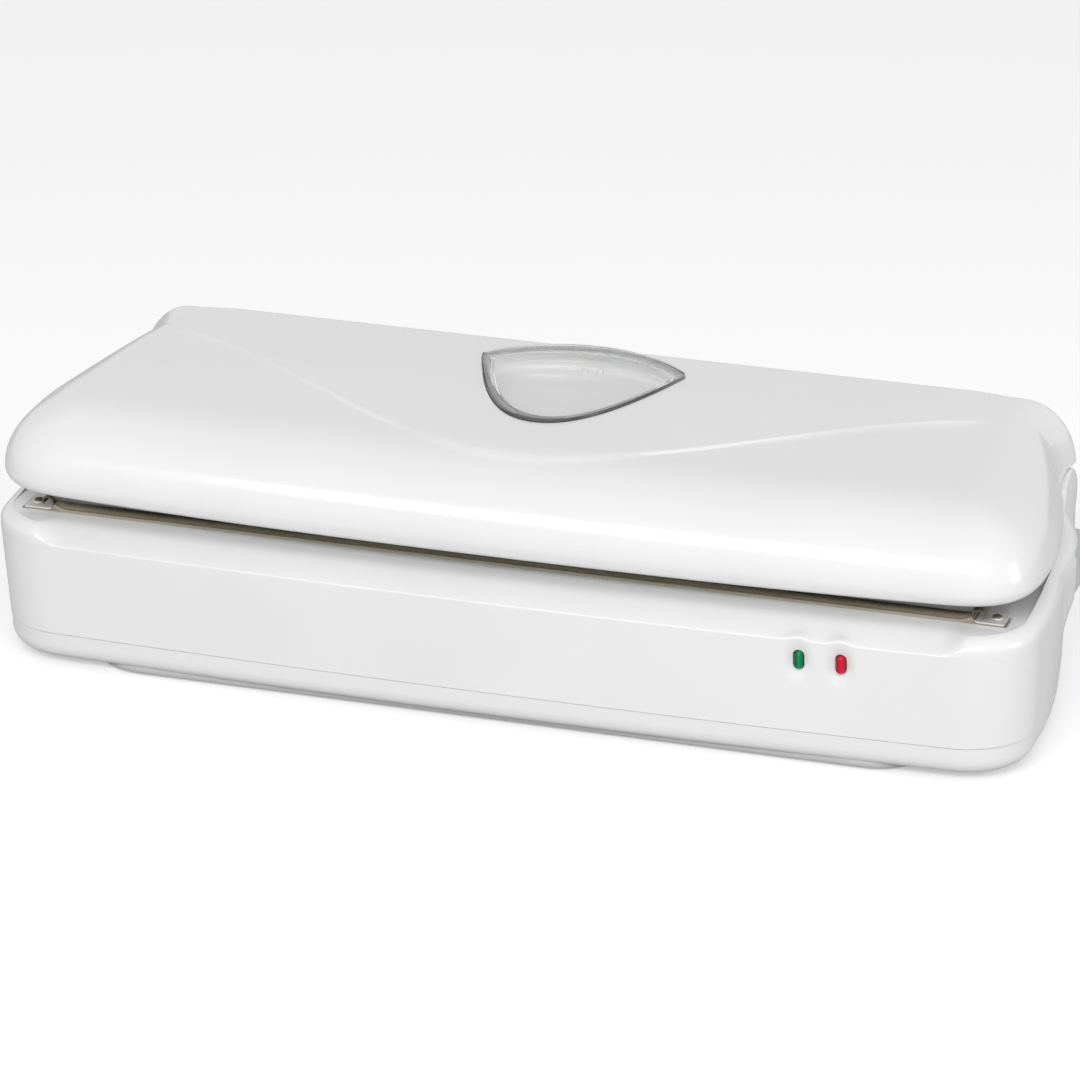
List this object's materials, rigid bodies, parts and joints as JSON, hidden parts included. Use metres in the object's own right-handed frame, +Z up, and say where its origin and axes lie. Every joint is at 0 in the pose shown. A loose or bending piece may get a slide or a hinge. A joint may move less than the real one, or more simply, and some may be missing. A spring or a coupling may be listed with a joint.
{
  "type": "vacuum sealer",
  "caption": "Countertop vacuum sealer with a hinged lid over a suction trough and a heated sealing bar, release buttons at the sides and two indicator lights.",
  "frame": {"origin": "centre of the underside, on the table", "axes": "+X to the right seen from the front, +Y to the back where the lid hinges, +Z up"},
  "size_m": [0.359, 0.1358, 0.0912],
  "materials": {
    "gloss_white": "glossy white moulded plastic",
    "pan_white": "glossy pale grey-white plastic",
    "liner_white": "matt white plastic",
    "gland": "matt light grey plastic",
    "button_grey": "glossy light grey plastic",
    "window_clear": "clear polished plastic",
    "rubber": "soft dark rubber",
    "hose": "translucent silicone tube",
    "foam": "soft dark grey foam",
    "silicone": "grey silicone",
    "steel": "plain steel",
    "core": "varnished steel sheets",
    "motor": "plated steel can",
    "winding": "yellow tape over copper winding",
    "phenolic": "brown heat-proof board",
    "ptfe": "brown coated glass cloth tape",
    "circuit": "green circuit board",
    "black_part": "black component bodies",
    "pump_black": "black moulded plastic",
    "green_lens": "green light lens",
    "red_lens": "red light lens"
  },
  "bodies": {
    "base": {"base_housing": "gloss_white", "bottom_pan": "pan_white", "rubber_feet": "rubber", "base_screws": "steel", "cord_gland": "gland", "heater_bar": "phenolic", "heating_band": "steel", "cover_strip": "ptfe", "end_clip_left": "steel", "end_clip_right": "steel", "vacuum_trough": "pan_white", "lower_gasket": "foam", "suction_nozzle": "gland", "air_hose": "hose", "green_light": "green_lens", "red_light": "red_lens", "light_board": "circuit", "control_board": "circuit", "board_parts": "black_part", "transformer_core": "core", "transformer_winding": "winding", "pump_motor": "motor", "pump_head": "pump_black", "pump_diaphragm": "rubber", "vent_valve": "steel", "microswitch_left": "black_part", "microswitch_right": "black_part", "button_spring_left": "steel", "button_spring_right": "steel", "latch_pin_left": "steel", "latch_pin_right": "steel", "hinge_pin_left": "steel", "hinge_pin_right": "steel"},
    "pump_rotor": {"pump_shaft": "steel"},
    "lid": {"lid_shell": "gloss_white", "lid_liner": "liner_white", "hinge_barrel": "gloss_white", "lid_window": "window_clear", "upper_gasket": "foam", "pressure_strip": "silicone", "lid_catch_left": "gland", "lid_catch_right": "gland", "lid_screws": "steel"},
    "button_left": {"release_button_left": "button_grey"},
    "button_right": {"release_button_right": "button_grey"},
    "lever_left": {"latch_lever_left": "gland"},
    "lever_right": {"latch_lever_right": "gland"},
    "plunger_left": {"switch_plunger_left": "gland"},
    "plunger_right": {"switch_plunger_right": "gland"}
  },
  "joints": [
    {"name": "lid_hinge", "type": "hinge", "parent": "base", "child": "lid", "pos_m": [0, 0.054, 0.057], "axis": [-1, 0, 0], "range_deg": [0, 75]},
    {"name": "release_button_right", "type": "slide", "parent": "base", "child": "button_right", "axis": [-1, 0, 0], "range_m": [0, 0.0025], "stiffness_N_per_m": 300, "springref_m": -0.002, "deforming": ["button_spring_right"]},
    {"name": "latch_lever_right", "type": "hinge", "parent": "base", "child": "lever_right", "pos_m": [0.156, 0.029, 0.02], "axis": [0, -1, 0], "range_deg": [0, 8.5]},
    {"name": "switch_plunger_right", "type": "slide", "parent": "base", "child": "plunger_right", "axis": [0, 0, -1], "range_m": [0, 0.0015], "stiffness_N_per_m": 200, "springref_m": -0.002},
    {"name": "release_button_left", "type": "slide", "parent": "base", "child": "button_left", "axis": [1, 0, 0], "range_m": [0, 0.0025], "stiffness_N_per_m": 300, "springref_m": -0.002, "deforming": ["button_spring_left"]},
    {"name": "latch_lever_left", "type": "hinge", "parent": "base", "child": "lever_left", "pos_m": [-0.156, 0.029, 0.02], "axis": [0, 1, 0], "range_deg": [0, 8.5]},
    {"name": "switch_plunger_left", "type": "slide", "parent": "base", "child": "plunger_left", "axis": [0, 0, -1], "range_m": [0, 0.0015], "stiffness_N_per_m": 200, "springref_m": -0.002},
    {"name": "pump_rotor", "type": "hinge", "parent": "base", "child": "pump_rotor", "pos_m": [0.06, 0, 0.0208], "axis": [1, 0, 0], "continuous": true}
  ],
  "couplings": [
    {"joint": "latch_lever_right", "follows": "release_button_right", "rad_per_m": 55.556},
    {"joint": "latch_lever_left", "follows": "release_button_left", "rad_per_m": 55.556}
  ]
}
